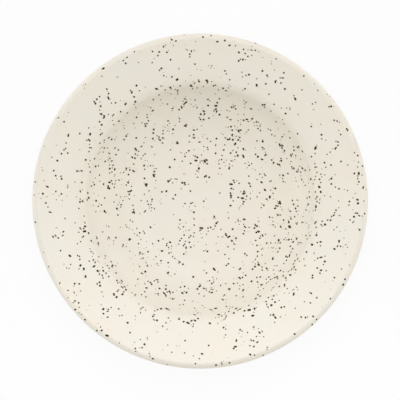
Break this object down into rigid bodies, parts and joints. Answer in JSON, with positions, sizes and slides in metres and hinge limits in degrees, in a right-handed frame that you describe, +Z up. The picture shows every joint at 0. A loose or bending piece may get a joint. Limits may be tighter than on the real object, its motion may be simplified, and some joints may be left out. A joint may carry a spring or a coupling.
{
  "type": "soup plate",
  "caption": "Deep round plate with a broad sloping rim, a rounded lip and a foot ring, in cream glazed stoneware with dark speckles.",
  "frame": {"origin": "on the table, below the middle of the plate", "axes": "+Z up along the axis that the plate is turned about; X and Y are free, because the plate is round"},
  "size_m": [0.23, 0.23, 0.0381],
  "materials": {
    "bare_stoneware": "matte",
    "speckled_cream_glaze": "satin",
    "plain_cream_glaze": "satin"
  },
  "bodies": {
    "root": {"ceramic_body": "bare_stoneware", "face_glaze": "speckled_cream_glaze", "back_glaze": "plain_cream_glaze", "recess_glaze": "plain_cream_glaze"}
  },
  "joints": []
}
